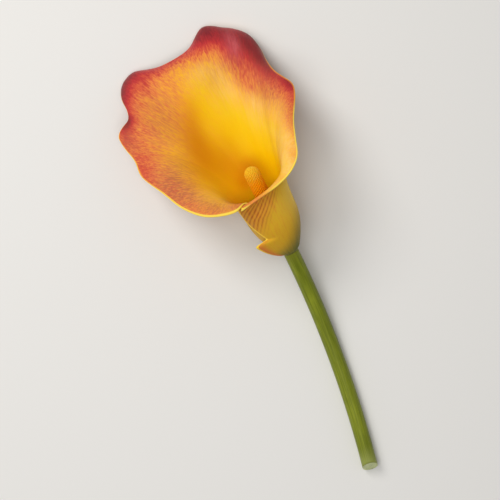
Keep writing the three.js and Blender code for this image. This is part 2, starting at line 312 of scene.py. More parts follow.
# The rim, by degrees of turn from the back: x and y from the foot, height, the blade's pitch below
# level where it ends, and the length of its last bend.
rim = [
    (-180, -0.7, 31.9, 53.4, -42, 7),  # front lip
    (-168, -4.2, 31.5, 53.0, -42, 7),
    (-156, -7.8, 31.0, 52.3, -38, 7),
    (-144, -11.4, 30.5, 51.2, -32, 7),
    (-132, -15.6, 30.2, 49.6, -24, 8),
    (-120, -22.5, 31.2, 46.8, -12, 9),
    (-108, -32.2, 35.6, 43, 0, 11),
    (-96, -40.4, 44.8, 38, 8, 12),
    (-84, -45.8, 56.4, 33, 12, 13),
    (-76, -49.6, 63.8, 29.5, 17, 14),
    (-70, -52.0, 70, 27.5, 20, 14),
    (-62, -51.2, 78, 27, 14, 14),
    (-54, -52.9, 86, 23, 26, 15),
    (-47, -53.4, 94.2, 18.5, 42, 15),  # left corner
    (-42, -49, 97.6, 20, 38, 15.5),
    (-37, -44.6, 99.4, 20, 38, 16),  # notch
    (-32, -43, 104.4, 15.5, 54, 17),
    (-24, -42.6, 112.2, 8, 78, 18),
    (-18, -39, 118.6, 2.4, 98, 19),
    (-11, -31.8, 121.9, -0.4, 110, 20),  # left back lobe
    (-5, -25.2, 120.4, 3.2, 92, 20),
    (1, -17.6, 117.8, 8.5, 64, 20),
    (8, -6.6, 118.0, 9.5, 56, 21),
    (14, 1.2, 119.8, 6.5, 68, 22),
    (19, 6.2, 123.4, 2.2, 96, 22),
    (24, 11.6, 126.6, -0.5, 114, 22),  # back lobe
    (29, 17.2, 124.3, 0.3, 118, 21),
    (33, 21.2, 121.2, 2.0, 110, 21),
    (37, 25.2, 118.6, 1.2, 116, 20),
    (45, 32.2, 111.6, 4.5, 108, 19),
    (53, 34.4, 102.4, 11.5, 92, 17),
    (60, 34, 94.8, 19, 72, 15),
    (66, 34.8, 88, 26, 54, 14),
    (72, 37.2, 82.4, 30.5, 46, 13),
    (79, 40, 76.4, 33.5, 46, 12),  # right lobe
    (86, 38.6, 71.0, 37.4, 38, 12),
    (96, 35.2, 65.2, 41, 30, 11),
    (108, 31.2, 58, 46, 18, 10),
    (120, 28, 49.8, 50, 8, 9),
    (132, 24.6, 41.2, 52.6, -6, 8),
    (144, 17, 35.6, 54, -22, 7),
    (156, 8.8, 33.2, 54.2, -34, 7),
    (168, 3.4, 32.4, 53.8, -40, 7),
]
rimTurns = [station[0] for station in rim]


@functools.lru_cache(maxsize=None)
def rimAt(turn):
    # smooth closed curve through the stations: x, y, z, pitch and bend
    turn = (turn + 180) % 360 - 180
    i = bisect.bisect_right(rimTurns, turn) - 1
    count = len(rim)
    near = [rim[(i + k) % count] for k in (-1, 0, 1, 2)]
    turns = [near[k][0] + 360 * ((i + k - 1) // count) for k in range(4)]
    span = turns[2] - turns[1]
    t = (turn - turns[1]) / span
    values = []
    for p0, p1, p2, p3 in zip(*(station[1:] for station in near)):
        out = (p2 - p0) / (turns[2] - turns[0]) * span
        into = (p3 - p1) / (turns[3] - turns[1]) * span
        values.append(p1 * (1 + 2 * t) * (1 - t) ** 2 + out * t * (1 - t) ** 2
                      + p2 * t * t * (3 - 2 * t) + into * t * t * (t - 1))
    return values


axisRise = math.radians(spathe["axisRise"])
axisDirection = Vector((0, math.cos(axisRise), math.sin(axisRise)))
backDirection = Vector((0, math.sin(axisRise), -math.cos(axisRise)))
rightDirection = Vector((1, 0, 0))
foot = Vector(spathe["foot"])


def tubePoint(height, radius, turn):
    around = backDirection * math.cos(turn) + rightDirection * math.sin(turn)
    return foot + axisDirection * height + around * radius


def tubeWall(turn, height):
    s = spathe
    swell = math.sin(math.pi / 2 * min(max(height / s["swellHeight"], 0), 1))
    angle = math.radians(turn)
    even, behind, atRight = s["mouthFlare"]
    flare = math.tan(math.radians(even + behind * math.cos(angle) - atRight * math.sin(angle)))
    opened = max(height - s["flareHeight"], 0) ** 2 / (2 * (s["throatHeight"] - s["flareHeight"]))
    return tubePoint(height, blend(s["footRadius"], s["tubeRadius"], swell) + flare * opened, angle)


@functools.lru_cache(maxsize=None)
def ribEnd(turn, reach):
    # where a rib ends and its last bend; a wide reach evens out the waves of the rim
    turns = [turn + k * reach / 2 for k in (-2, -1, 0, 1, 2)] if reach else [turn]
    x, y, z, pitch, bend = [sum(values) / len(turns) for values in zip(*map(rimAt, turns))]
    heading, pitch = math.radians(turn), math.radians(pitch)
    level = Vector((math.sin(heading), math.cos(heading), 0)) * math.cos(pitch)
    away = level - Vector((0, 0, math.sin(pitch)))
    return Vector((foot.x + x, foot.y + y, z)), away * bend


def layer(turn, rise):
    # the sheet's middle before the overlap
    s = spathe
    if rise <= 1:
        return tubeWall(turn, rise * s["throatHeight"])
    start = tubeWall(turn, s["throatHeight"])
    wall = (start - tubeWall(turn, s["throatHeight"] - 0.5)).normalized()
    evenEnd, evenBend = ribEnd(turn, s["waveReach"])
    wavedEnd, wavedBend = ribEnd(turn, 0)
    t, u = rise - 1, 2 - rise
    p1 = start + wall * s["wallReach"] * (evenEnd - start).length
    p2 = evenEnd - evenBend
    point = start * u ** 3 + p1 * 3 * t * u ** 2 + p2 * 3 * t * t * u + evenEnd * t ** 3
    # the rim's waves come in over the last part of the rib
    point += (wavedEnd - evenEnd) * t ** 4 * (5 - 4 * t)
    point -= (wavedBend - evenBend) * 3 * t ** 4 * u
    # small ruffles along the rim, none on the tight lip in front
    ruffle = s["ruffle"] * waveSum(s["ruffleWaves"], turn)
    point.z += ruffle * t ** 5 * smooth(*s["ruffleTurns"], abs(turn))
    return point


def outwardNormal(turn, rise):
    step = 0.001
    low, high = max(rise - step, 0), min(rise + step, 2)
    across = layer(turn + 0.1, rise) - layer(turn - 0.1, rise)
    return (layer(turn, high) - layer(turn, low)).cross(across).normalized()


def sideTurn(side, rise):
    # the turn at which the sheet ends on that side
    (atFoot, inTube, atRim), lower, upper = spathe[side]
    turn = atFoot + (inTube - atFoot) * smooth(*lower, rise)
    return turn + (atRim - inTube) * smooth(*upper, rise)


def undulation(turn, rise):
    # slow unevenness of a living blade, in mm; it fades out in the roll
    s = spathe
    waves = waveSum(s["unevenWaves"], turn)
    waves += waveSum(s["crossingWaves"], turn) * math.sin(rise * 5 + 1)
    fading = smooth(*s["unevenRises"], rise) * smooth(*s["unevenTurns"], abs(turn))
    return s["unevenness"] * waves * fading


def sheetPoint(turn, rise):
    s = spathe
    if rise > 1:
        rise = 1 + (rise - 1) * (1 - s["tuckSink"] * smooth(*s["tuckTurns"], turn))
    point = layer(turn, rise)
    point += outwardNormal(turn, rise) * undulation(turn, rise)
    lift = blend(s["flapGap"], s["flapGapAtRim"], smooth(1, 2, rise))
    lift *= smooth(*s["liftTurns"], turn) * smooth(*s["liftRises"], rise)
    if lift:
        point += outwardNormal(turn, rise) * lift
    height = rise * s["throatHeight"]
    share = min(max((height - s["tailFoot"]) / (s["tailHeight"] - s["tailFoot"]), 0), 1)
    tail = s["tailReach"] * share ** s["tailCurve"]
    tail *= 1 - smooth(s["tailHeight"], s["tailHeight"] + s["tailNotch"], height)
    nearEdge = max(1 - (sideTurn("flapSide", rise) - turn) / s["tailWidth"], 0)
    direction = Vector(s["tailDirection"]) + Vector((0, s["tailSweep"] * share ** 2, 0))
    return point + direction * tail * nearEdge ** 2


# Where the open face changes colour. Blush runs from golden yellow to crimson, and two of its
# patches also paint the shade of a fold and of a crease. The pale patches are the paler band inside
# the right rim with painted light where it faces the lamp, the painted highlight is the sheen on
# the back lobe, the rosy patches are the veined tint inside the rim with painted shade on the left,
# and the throat's patches are painted shade. Each patch has a centre from the foot, half widths
# across and along in mm, a lean in degrees and an amount.
blushPatches = [
    (11, 124, 14, 10, -15, 0.52),
    (24, 113, 9, 11, 20, 0.34),
    # this patch also paints the shade on the fold of the right back lobe
    (34, 102, 6.5, 14, 4, 0.52),
    (32, 90, 4, 7, 0, 0.1),
    (22, 98, 12, 16, 12, 0.24),
    (25, 84, 9, 14, 8, 0.07),
    (39.5, 78, 5.5, 8, -10, 0.4),
    (37, 66, 3, 7, -15, 0.12),
    (-34, 122, 10, 6, -15, 0.46),
    (-43, 114, 6, 8, 10, 0.39),
    (-46, 103, 4, 8, 0, 0.3),
    (-38, 108, 10, 8, 0, 0.08),
    (-47, 99, 5, 3.5, 0, 0.4),
    (-50, 92, 3, 6, 20, 0.16),
    (-44, 86, 12, 10, 0, 0.1),
    (-49, 70, 6, 10, 25, 0.16),
    (-42, 58, 9, 8, 35, 0.05),
    # this patch paints the shade along a crease left of the throat
    (-20, 84, 6, 18, 14, 0.12),
    (-8, 118, 6, 4, 0, 0.2),
    (-19, 118, 8, 4.5, 0, 0.24),
    (-2, 102, 8, 16, 8, -0.1),
    (-9, 92, 7, 16, 10, -0.1),
    (8, 66, 10, 30, 5, -0.2),
    (13, 52, 6, 14, 0, -0.18),
    (-28, 106, 6, 9, 10, 0.09),
    (17, 83, 8, 12, 18, 0.12),
    (28, 92, 8, 8, 0, -0.03),
    (-29, 114, 6, 5, 0, 0.12),
    (-24, 94, 5, 8, 10, 0.07),
    (-22, 37, 12, 4, 62, -0.1),
    (-11, 111, 5, 5, 0, -0.08),
    (24, 52, 5, 13, -20, -0.14),
    (18, 38, 5, 9, -45, -0.2),
    (6, 33, 9, 3, 0, -0.16),
]
# a paler tone inside the rim, with painted light on the band inside the right rim where it faces
# the lamp
paleAndLitPatches = [
    (18, 38, 5, 8, -45, 0.8),
    (6, 33, 9, 3, 0, 0.6),
    (16, 44, 5, 9, -35, 1.0),
    (24, 50, 4, 10, -25, 1.0),
    (28, 62, 5, 11, -10, 0.8),
    (31, 74, 4, 8, -5, 0.25),
    (2, 104, 10, 8, 0, 0.5),
    (10, 92, 8, 12, 15, 0.6),
    (18, 76, 6, 16, 16, 0.8),
    (26, 84, 7, 12, 10, 0.25),
    (-20, 38, 12, 4, 62, 0.45),
    (-31, 44, 8, 4, 52, 0.65),
    (-6, 33, 9, 3, 90, 0.5),
    (17, 46, 4, 9, -25, 0.7),
    (-50, 79, 4, 9, 0, 0.4),
]
# painted highlight: the sheen of the light on the back lobe
paintedHighlightPatches = [
    (22, 110, 3.2, 7.5, 12, 0.95),
]
# the veined rose tint inside the rim, partly painted shade on the left side
roseAndShadePatches = [
    (-30, 44, 15, 6, 55, 0.65),
    (-14, 35, 13, 3.5, 80, 0.6),
    (-22, 36, 9, 3, 27, 0.55),
    (-40, 58, 10, 13, 35, 0.9),
    (-27, 60, 8, 14, 35, 0.45),
    (-30, 90, 14, 20, 12, 0.55),
    (-50, 88, 5, 9, 10, 0.6),
    (27, 82, 8, 14, 12, 0.6),
    (12, 100, 14, 8, -10, 0.45),
    (31, 66, 4, 12, -10, 0.15),
]
# painted shade in the throat and round the spadix
paintedShadePatches = [
    (-19, 70, 8, 20, 12, 0.9),
    (-9, 56, 11, 15, 14, 0.75),
    (3, 42, 8, 8, 0, 0.45),
    (1, 49, 7, 6, 0, 0.5),
    (-6, 42, 4, 5, 0, 0.5),
    (-14, 88, 6, 10, 15, 0.35),
]

# Changes to the width of the yellow margin: it is clear on the left and below, faint on the red
# lobes, and wider where the rim curls down, so that its line still shows from above. Each has a
# turn, a half width in degrees and an amount in mm.
marginChanges = [
    (-37, 5, -0.7),
    (-25, 6, 1.3),
    (-8, 8, -0.6),
    (14, 12, -0.65),
    (40, 14, 3.8),
    (62, 9, 0.8),
    (82, 14, 0.6),
    (188, 30, -1.0),
]


def patchSum(patches, point):
    total = 0.0
    for x, y, wide, long, lean, amount in patches:
        angle = math.radians(lean)
        dx, dy = point.x - foot.x - x, point.y - foot.y - y
        across = dx * math.cos(angle) - dy * math.sin(angle)
        along = dx * math.sin(angle) + dy * math.cos(angle)
        total += amount * math.exp(-((across / wide) ** 2 + (along / long) ** 2))
    return total


def marginWidth(turn, rise):
    s = spathe
    width = s["margin"] + sum(change * bell(turn, centre, halfWidth)
                              for centre, halfWidth, change in marginChanges)
    low, high = s["flapMarginRises"]
    onFlap = smooth(*s["flapMarginTurns"], turn) * smooth(*low, rise) * smooth(*high, rise)
    return blend(width, s["flapMargin"], onFlap) * smooth(*s["marginRises"], rise)


maskNames = ["rise", "blush", "pale", "paintedHighlight", "roseAndShade", "paintedThroatShade",
             "edge", "margin", "low", "paintedSideLight", "stripes", "tail"]


def sheetMasks(turn, rise, point, turns):
    # what the materials read at a point of the sheet: shares of one, but edge and margin in mm
    s = spathe
    climb = rise * s["throatHeight"]
    onLimb = smooth(*s["bandRises"], rise)
    inThroat, gain = s["blush"]
    blush = inThroat + gain * smooth(*s["blushRises"], rise) + patchSum(blushPatches, point)
    ribLength = (ribEnd(turn, 0)[0] - tubeWall(turn, s["throatHeight"])).length
    radius = s["tubeRadius"] + s["limbSpread"] * max(rise - 1, 0)
    fromSide = math.radians(min(turn - turns[0], turns[-1] - turn)) * radius
    greenFull, greenLow, greenHigh = s["greenHeights"]
    greenTop = blend(greenLow, greenHigh, bell(turn, *s["greenSide"]))
    # painted light where the tube's right side catches the lamp
    paintedSideLight = bell(turn, *s["paintedLightSide"]) * smooth(*s["paintedLightHeights"], climb)
    # the stripes start at a slanting line through the notch above the tail
    aboveTail = rise - s["tailHeight"] / s["throatHeight"]
    fromNotch = turn - s["stripeTurn"] + s["stripeSlant"] * aboveTail
    stripes = smooth(*s["stripeTurns"], fromNotch) * smooth(*s["stripeHeights"], climb)
    tail = smooth(*s["tailTopHeights"], climb) * smooth(*s["tailFootHeights"], climb)
    return {
        "rise": rise,
        "blush": min(max(blush, 0.0), 1.0),
        "pale": min(patchSum(paleAndLitPatches, point), 1.0) * onLimb,
        "paintedHighlight": patchSum(paintedHighlightPatches, point),
        "roseAndShade": min(patchSum(roseAndShadePatches, point), 1.0) * onLimb,
        "paintedThroatShade": min(patchSum(paintedShadePatches, point), 1.0),
        "edge": min((2 - rise) * ribLength, fromSide),
        "margin": marginWidth(turn, rise),
        "low": smooth(greenTop, greenFull, climb) * smooth(*s["greenRises"], rise),
        "paintedSideLight": paintedSideLight * smooth(*s["paintedLightRises"], rise),
        "stripes": stripes * smooth(*s["stripeRises"], rise),
        "tail": tail * smooth(*s["tailTurns"], turns[-1] - turn),
    }


def sheetRows():
    s = spathe
    tubeHeights = [-s["skirt"] / s["throatHeight"]]
    tubeHeights += [j / s["tubeRows"] for j in range(s["tubeRows"])]
    last = s["rowCrowding"] * math.pi
    return tubeHeights + [1 + math.sin(last * j / s["limbRows"]) / math.sin(last)
                          for j in range(s["limbRows"] + 1)]


def sheetTurns(rise):
    ends = [sideTurn("tuckedSide", rise), *spathe["limbTurns"], sideTurn("flapSide", rise)]
    turns = [ends[0]]
    for span, count in enumerate(spathe["columns"]):
        turns += [blend(ends[span], ends[span + 1], i / count) for i in range(1, count + 1)]
    return turns


def makeSpathe(materials):
    s = spathe
    rows = sheetRows()
    rowTurns = [sheetTurns(max(rise, 0)) for rise in rows]
    columnCount = sum(s["columns"])
    bm = bmesh.new()
    bmesh.ops.create_grid(bm, x_segments=columnCount, y_segments=len(rows) - 1, size=1)
    masks = {name: bm.verts.layers.float.new(name) for name in maskNames}
    uv = bm.loops.layers.uv.new("ribMap")
    weights = bm.verts.layers.deform.verify()
    for vert in bm.verts:
        i = round((vert.co.x + 1) / 2 * columnCount)
        j = round((vert.co.y + 1) / 2 * (len(rows) - 1))
        turn, rise = rowTurns[j][i], rows[j]
        point = sheetPoint(turn, rise)
        point.z = max(point.z, s["lowest"])
        vert.co = point * mm
        for name, value in sheetMasks(turn, rise, point, rowTurns[j]).items():
            vert[masks[name]] = value
        bladeShare = blend(s["footShare"], 1, smooth(*s["footRises"], rise))
        vert[weights][0] = blend(bladeShare, s["rimShare"], smooth(*s["rimRises"], rise))
        for loop in vert.link_loops:
            loop[uv].uv = (turn / s["mapDegrees"], rise * s["mapHeights"])
    bmesh.ops.reverse_faces(bm, faces=bm.faces[:])
    piece = finishPiece(bm, "spatheSheet", "spathe", materials)
    piece.vertex_groups.new(name="blade")
    solid = piece.modifiers.new("blade thickness", "SOLIDIFY")
    solid.thickness = s["thickness"] * mm
    solid.offset = 0
    solid.vertex_group = "blade"
    solid.material_offset = 1
    solid.material_offset_rim = 1
    rounding = piece.modifiers.new("round the edges", "SUBSURF")
    rounding.levels = rounding.render_levels = 1
    return piece


def yellowMargin(tree):
    across = mathNode(tree, "DIVIDE", readAttribute(tree, "edge"), readAttribute(tree, "margin"))
    return times(tree, fromRange(tree, across, 1.1, 0.62),
                 fromRange(tree, readAttribute(tree, "margin"), 0.2, 0.7))


def openFaceMaterial():
    # its roughness comes from the blotches below
    material, tree, shader = newMaterial("spathe open face", {
        "Specular IOR Level": 0.25, "Specular Tint": (1.0, 0.62, 0.25, 1.0),
        "Subsurface Weight": 0.12, "Subsurface Radius": (1.0, 0.4, 0.05),
        "Subsurface Scale": 0.001, "Sheen Weight": 0.03, "Sheen Roughness": 0.4})
    broad = placeStreaks(tree, 4.6, 1.8, 5.0)["Streak"]
    fine = placeStreaks(tree, 13.0, 7.0, 4.0)
    veins = placeStreaks(tree, 8.0, 2.4, 3.0)["Streak"]
    cells = placeGroup(tree, skin)
    blush = readAttribute(tree, "blush")
    rise = readAttribute(tree, "rise")
    # the grain shows most where one colour gives way to the next
    reach = times(tree, fromRange(tree, blush, 0.1, 0.45, 0.05, 0.13),
                  fromRange(tree, blush, 0.85, 0.5, 0.4, 1.0))
    total = plus(tree, blush, swing(tree, broad, reach))
    total = plus(tree, total, swing(tree, fine["Streak"], times(tree, reach, 1.7)), clamp=True)
    petal = colourRamp(tree, total, [
        (0.0, colour(252, 204, 0)), (0.12, colour(251, 197, 3)), (0.26, colour(252, 182, 44)),
        (0.4, colour(242, 156, 66)), (0.52, colour(234, 130, 70)), (0.64, colour(220, 94, 66)),
        (0.78, colour(196, 52, 58)), (1.0, colour(134, 34, 46))])
    grained = fromRange(tree, broad, 0, 1, 0.45, 0.95)
    bothGrains = plus(tree, times(tree, veins, 0.7), times(tree, fine["Streak"], 0.3))
    veined = fromRange(tree, bothGrains, 0.2, 0.85, 0.4, 0.85)
    # the paler band: partly its own tone, partly painted light
    pale = times(tree, readAttribute(tree, "pale"), fromRange(tree, blush, 0.55, 0.25))
    # veined rose tint, partly painted shade on the left side
    roseAndShadeTone = mixColour(tree, fromRange(tree, blush, 0.2, 0.5),
                         colour(194, 122, 62), colour(178, 96, 70))
    # painted shade that deepens down into the throat
    depthShade = fromRange(tree, rise, 1.15, 0.75, 0, 0.55)
    paintedThroatShade = mathNode(tree, "MAXIMUM", readAttribute(tree, "paintedThroatShade"), depthShade)
    # the throat's green base, painted darker as shade deep in the tube
    oliveAndShade = fromRange(tree, rise, 1.1, 0.84, 0, 0.75)
    marginTone = mixColour(tree, fromRange(tree, blush, 0.5, 0.75),
                           colour(255, 222, 86), colour(244, 158, 66))
    footEdge = times(tree, readAttribute(tree, "low"), fromRange(tree, rise, 0.03, 0.0))
    petal = paintOver(tree, petal,
                      # painted highlight on the back lobe
                      (times(tree, readAttribute(tree, "paintedHighlight"), grained), colour(222, 104, 112)),
                      (times(tree, pale, grained), colour(255, 208, 112)),
                      (times(tree, readAttribute(tree, "roseAndShade"), veined), roseAndShadeTone),
                      (times(tree, paintedThroatShade, 0.85), colour(212, 124, 0)),
                      (oliveAndShade, colour(148, 124, 4)),
                      (yellowMargin(tree), marginTone),
                      (footEdge, colour(92, 96, 30)))
    tree.links.new(petal, shader.inputs["Base Color"])
    height = plus(tree, times(tree, fine["Vein"], 0.7), times(tree, cells["Cell Height"], 0.5))
    addBump(tree, shader, height, 0.18)
    gloss = fromRange(tree, cells["Blotch"], 0, 1, 0.4, 0.54)
    tree.links.new(gloss, shader.inputs["Roughness"])
    return material


def slantingStripes(tree):
    # soft lines that cross the ribs and waver a little
    ribPlace = addNode(tree, "ShaderNodeUVMap", uv_map="ribMap").outputs["UV"]
    slant = spathe["stripeSlant"] / (spathe["mapDegrees"] * spathe["mapHeights"])
    across = addNode(tree, "ShaderNodeVectorMath", {0: ribPlace, 1: (1.0, slant, 0.0)},
                     operation="DOT_PRODUCT").outputs["Value"]
    along = addNode(tree, "ShaderNodeSeparateXYZ", {0: ribPlace}).outputs["Y"]
    place = addNode(tree, "ShaderNodeCombineXYZ", {"X": across, "Y": along}).outputs[0]
    lines = addNode(tree, "ShaderNodeTexWave", {
        "Vector": place, "Scale": 0.34, "Distortion": 4.2, "Detail": 1.5, "Detail Scale": 0.7,
        "Detail Roughness": 0.4}).outputs["Fac"]
    return fromRange(tree, lines, 0.2, 1.0)


def backFaceMaterial():
    material, tree, shader = newMaterial("spathe back face", {
        "Roughness": 0.5, "Specular IOR Level": 0.14, "Specular Tint": (1.0, 0.7, 0.3, 1.0),
        "Subsurface Weight": 0.12, "Subsurface Radius": (1.0, 0.45, 0.08),
        "Subsurface Scale": 0.001, "Sheen Weight": 0.12, "Sheen Roughness": 0.35,
        "Sheen Tint": (1.0, 0.74, 0.3, 1.0)})
    broad = placeStreaks(tree, 2.4, 0.5, 4.0)["Streak"]
    fine = placeStreaks(tree, 9.0, 3.0, 4.0)
    cells = placeGroup(tree, skin)
    rise = readAttribute(tree, "rise")
    # the outside carries less red than the open face, most of it up near the rim
    outside = times(tree, readAttribute(tree, "blush"), fromRange(tree, rise, 1.0, 2.0, 0.5, 0.9))
    streaked = swing(tree, broad, fromRange(tree, rise, 0.3, 1.1, 0.05, 0.24))
    speckled = swing(tree, fine["Streak"], 0.14)
    total = plus(tree, plus(tree, outside, streaked), plus(tree, speckled, 0.1), clamp=True)
    petal = colourRamp(tree, total, [
        (0.0, colour(220, 178, 42)), (0.2, colour(222, 170, 44)), (0.36, colour(214, 136, 44)),
        (0.52, colour(204, 102, 44)), (0.7, colour(184, 66, 42)), (1.0, colour(140, 32, 38))])
    # painted light on the tube's right side, slanting stripes under the lip and green up from the
    # foot
    striped = readAttribute(tree, "stripes")
    stripe = times(tree, striped, slantingStripes(tree))
    stripe = times(tree, stripe, fromRange(tree, broad, 0, 1, 0.42, 0.66))
    green = times(tree, readAttribute(tree, "low"), fromRange(tree, broad, 0, 1, 0.82, 1.0))
    nearEdge = fromRange(tree, readAttribute(tree, "edge"), 3.0, 0.5)
    tail = times(tree, readAttribute(tree, "tail"), nearEdge)
    petal = paintOver(tree, petal,
                      # painted light on the tube's right side
                      (readAttribute(tree, "paintedSideLight"), colour(255, 212, 82)),
                      (times(tree, striped, 0.5), colour(214, 126, 54)),
                      (stripe, colour(154, 66, 34)),
                      (green, colour(84, 98, 44)),
                      (tail, colour(220, 124, 56)),
                      (yellowMargin(tree), colour(255, 214, 72)))
    tree.links.new(petal, shader.inputs["Base Color"])
    height = plus(tree, times(tree, fine["Vein"], 0.9), times(tree, cells["Cell Height"], 0.4))
    addBump(tree, shader, height, 0.22)
    return material


spathePiece = makeSpathe([backFaceMaterial(), openFaceMaterial()])
print("spathe made:", len(spathePiece.data.vertices), "points in its sheet")


spadix = {
    "foot": 3.6,  # height up the tube's axis
    "length": 48.8,
    "radius": 4.05,
    "footShare": 0.82,  # radius at the foot, as a share of the full one
    "footLength": 14,  # length over which it gains the rest
    "floretRadius": 0.62,
    "floretHeight": 0.42,
    "floretSink": 0.22,
    "floretSides": 8,
    "floretRings": 6,
    "dimple": (0.34, 0.42),  # depth and half width, as shares of the floret's height and radius
    "firstFloret": 0.6,
    "spacing": 1.12,
    "leastRadius": 0.55,  # keeps the spacing even over the tip
    "steepest": 6,  # limits the slope there
    "coreDepth": 0.3,
    "coreRows": 40,
    "coreSides": 36,
    "seed": 7,
}


def spadixRadius(along):
    s = spadix
    fromTip = s["length"] - along
    dome = math.sqrt(max(1 - (1 - fromTip / s["radius"]) ** 2, 0)) if fromTip < s["radius"] else 1
    return s["radius"] * blend(s["footShare"], 1, smooth(0, s["footLength"], along)) * dome


def axisPoint(along, radius, turn):
    return tubePoint(spadix["foot"] + along, radius, turn)


def makeFloret():
    # a ball of radius 1 with a dimple in its top
    depth, halfWidth = spadix["dimple"]
    bm = bmesh.new()
    bmesh.ops.create_uvsphere(bm, u_segments=spadix["floretSides"],
                              v_segments=spadix["floretRings"], radius=1)
    for vert in bm.verts:
        if vert.co.z > 0:
            vert.co.z -= depth * bell(math.hypot(vert.co.x, vert.co.y), 0, halfWidth)
    return meshFrom(bm, "floret")


def makeCore():
    # the spadix's smooth body, spun from its profile, just under the florets
    s = spadix
    bm = bmesh.new()
    profile = [bm.verts.new(axisPoint(0, 0, 0) * mm)]
    for k in range(s["coreRows"]):
        along = s["length"] * math.sin(math.pi / 2 * k / s["coreRows"])
        radius = max(spadixRadius(along) - s["coreDepth"], 0.05)
        profile.append(bm.verts.new(axisPoint(along, radius, 0) * mm))
    profile.append(bm.verts.new(axisPoint(s["length"] - s["coreDepth"], 0, 0) * mm))
    edges = [bm.edges.new(pair) for pair in zip(profile, profile[1:])]
    bmesh.ops.spin(bm, geom=profile + edges, cent=foot * mm, axis=axisDirection, angle=2 * math.pi,
                   steps=s["coreSides"], use_merge=True)
    bmesh.ops.remove_doubles(bm, verts=bm.verts[:], dist=0.00001)
    bmesh.ops.recalc_face_normals(bm, faces=bm.faces[:])
    return meshFrom(bm, "spadixCore")


def makeSpadix(material):
    s = spadix
    rng = random.Random(s["seed"])
    bm = bmesh.new()
    tone = bm.verts.layers.float.new("tone")
    height = bm.verts.layers.float.new("height")
    bm.from_mesh(makeCore())
    for vert in bm.verts:
        vert[height] = ((vert.co / mm - foot).dot(axisDirection) - s["foot"]) / s["length"]
    # florets in a spiral, each turned to face out
    floretMesh = makeFloret()
    along, count = s["firstFloret"], 0
    while along < s["length"] - 0.02:
        radius = spadixRadius(along)
        turn = count * goldenAngle
        step = 0.2
        ahead = spadixRadius(min(along + step, s["length"]))
        slope = (ahead - spadixRadius(along - step)) / (2 * step)
        outward = (axisPoint(0, 1, turn) - axisPoint(0, 0, turn)).normalized()
        normal = (outward - axisDirection * max(slope, -s["steepest"])).normalized()
        centre = axisPoint(along, max(radius - s["floretSink"], 0.05), turn)
        size = s["floretRadius"] * rng.uniform(0.9, 1.08)
        turned = normal.to_track_quat("Z", "Y")
        shade = rng.uniform(0.25, 1)
        before = len(bm.verts)
        bm.from_mesh(floretMesh)
        bm.verts.ensure_lookup_table()
        for i in range(before, len(bm.verts)):
            vert = bm.verts[i]
            local = Vector((vert.co.x * size, vert.co.y * size, vert.co.z * s["floretHeight"]))
            vert.co = (centre + turned @ local) * mm
            vert[tone] = shade
            vert[height] = along / s["length"]
        count += 1
        # equal areas between one floret and the next
        belt = 2 * math.pi * max(radius, s["leastRadius"]) * math.sqrt(1 + min(slope, 0) ** 2)
        along += s["spacing"] ** 2 / belt
    finishPiece(bm, "spadixFlorets", "spadix", [material])
    print("spadix made:", count, "florets")


def spadixMaterial():
    material, tree, shader = newMaterial("spadix florets", {
        "Roughness": 0.62, "Specular IOR Level": 0.16, "Specular Tint": (1.0, 0.7, 0.3, 1.0),
        "Subsurface Weight": 0.25, "Subsurface Radius": (1.0, 0.5, 0.05),
        "Subsurface Scale": 0.0012, "Sheen Weight": 0.02})
    cells = placeGroup(tree, skin, {"Cells": 5200.0, "Blotches": 420.0})
    height = readAttribute(tree, "height")
    tip = fromRange(tree, height, 0.79, 1.0)
    pollen = times(tree, fromRange(tree, cells["Blotch"], 0.55, 0.95),
                   fromRange(tree, height, 0.7, 1.0, 0.0, 0.35))
    body = mixColour(tree, tip, colour(255, 153, 0), colour(255, 196, 46))
    body = paintOver(tree, body,
                     (times(tree, readAttribute(tree, "tone"), 0.35), colour(255, 170, 0)),
                     (pollen, colour(252, 212, 90)))
    tree.links.new(body, shader.inputs["Base Color"])
    addBump(tree, shader, cells["Cell Height"], 0.3, 0.0002)
    return material


makeSpadix(spadixMaterial())


stem = {
    "radius": 4.1,
    "arc": 74,  # length over which it bends down to the table
    "flat": 50,  # length that lies on it
    "drift": 14,  # how far its cut end lies to the left
    "taper": 1.5,  # length below the sheet's foot by which the top has its full width
    "topRadius": 3.0,
    "pegHeight": 3.2,  # how far the top reaches up into the sheet
    "cutSlant": 28,  # in degrees
    "cutBlend": 6,  # length over which the last rings lean into the cut
    "cutSteps": ((0.35, 0.12), (1.2, 0.1)),  # width and depth of the skin's ring, then the next
    "columns": 64,
    "rows": 110,
    "ribs": 15,
    "ribHeight": 0.045,
    "ribStart": 10,  # length over which the ribs come in
    "mapSize": (18, 6),  # half the rib map's width and length
}
bendRadius = stem["arc"] / axisRise


def stemCentre(along):
    angle = axisRise - min(along, stem["arc"]) / bendRadius
    centre = foot.copy()
    centre.y -= bendRadius * (math.sin(axisRise) - math.sin(angle)) + max(along - stem["arc"], 0)
    centre.z -= bendRadius * (math.cos(angle) - math.cos(axisRise))
    centre.x -= stem["drift"] * (max(along, 0) / (stem["arc"] + stem["flat"])) ** 2
    return centre


def stemPoint(along, turn):
    s = stem
    direction = (stemCentre(along - 0.5) - stemCentre(along + 0.5)).normalized()
    across = Vector((0, 0, 1)).cross(direction).normalized()
    up = direction.cross(across).normalized()
    radius = blend(s["topRadius"], s["radius"], smooth(-s["pegHeight"], s["taper"], along))
    radius += s["ribHeight"] * math.cos(s["ribs"] * turn) * smooth(0, s["ribStart"], along)
    point = stemCentre(along) + (across * math.cos(turn) + up * math.sin(turn)) * radius
    length = s["arc"] + s["flat"]
    slant = math.tan(math.radians(s["cutSlant"])) * smooth(length - s["cutBlend"], length, along)
    return point + direction * radius * math.sin(turn) * slant


